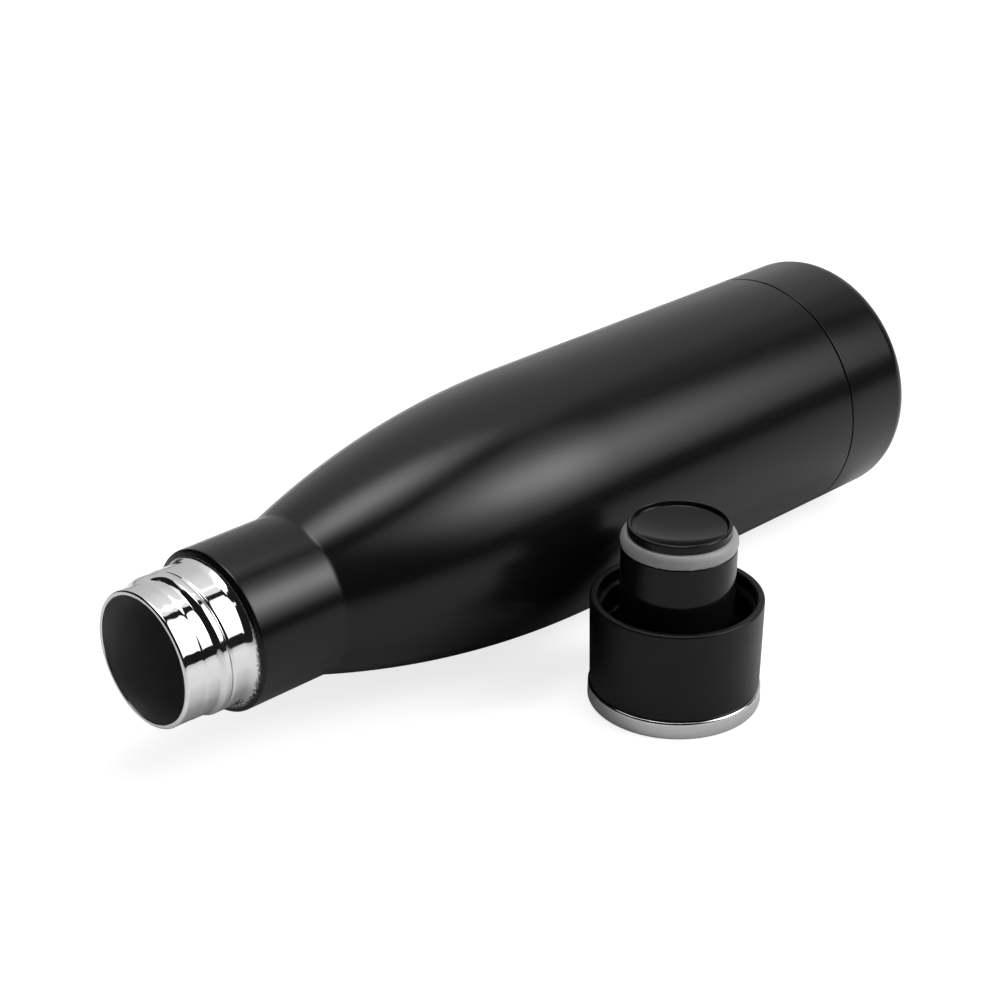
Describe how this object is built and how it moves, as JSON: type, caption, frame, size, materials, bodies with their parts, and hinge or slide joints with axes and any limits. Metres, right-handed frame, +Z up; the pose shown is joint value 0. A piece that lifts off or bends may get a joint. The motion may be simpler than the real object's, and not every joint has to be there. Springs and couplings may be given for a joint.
{
  "type": "vacuum flask",
  "caption": "Slim-neck double-walled vacuum flask lying on its side, with its screw cap and sealed stopper standing beside it.",
  "frame": {"origin": "on the surface it lies on, under the middle of the whole object's bounding box", "axes": "+Z up; the flask lies along X with its mouth towards -X; the cap stands on the -Y side"},
  "size_m": [0.2506, 0.1168, 0.07],
  "materials": {
    "powder_coat": "satin powder coat, polished bare steel at the mouth",
    "liner_steel": "satin inside, polished at the lip",
    "pan_steel": "pressed, plain",
    "solder_glass": "fused bead",
    "copper_foil": "bright foil",
    "getter_metal": "sintered",
    "adhesive": "cured",
    "cap_plastic": "fine satin moulding",
    "plate_steel": "satin brushed, polished edge",
    "insert_plastic": "moulded",
    "stopper_plastic": "glossy moulding",
    "foam": null,
    "silicone": "matt translucent silicone"
  },
  "bodies": {
    "flask": {"outer_shell": "powder_coat", "inner_liner": "liner_steel", "liner_bottom": "liner_steel", "outer_bottom": "pan_steel", "vacuum_seal_bead": "solder_glass", "radiation_foil": "copper_foil", "getter": "getter_metal", "getter_clip": "pan_steel", "base_cup": "powder_coat", "cup_adhesive": "adhesive"},
    "seal": {"seal_ring": "silicone"},
    "cap": {"cap_shell": "cap_plastic", "cap_top_plate": "plate_steel", "plate_adhesive": "adhesive", "thread_insert": "insert_plastic", "stopper_body": "stopper_plastic", "stopper_foam": "foam", "stopper_end": "stopper_plastic"}
  },
  "joints": [
    {"name": "cap_lift", "type": "slide", "parent": "flask", "child": "seal", "axis": [0, 0, 1], "range_m": [0, 0.1]},
    {"name": "cap_turn", "type": "hinge", "parent": "seal", "child": "cap", "pos_m": [-0.00235, -0.036, 0], "axis": [0, 0, 1], "continuous": true}
  ]
}
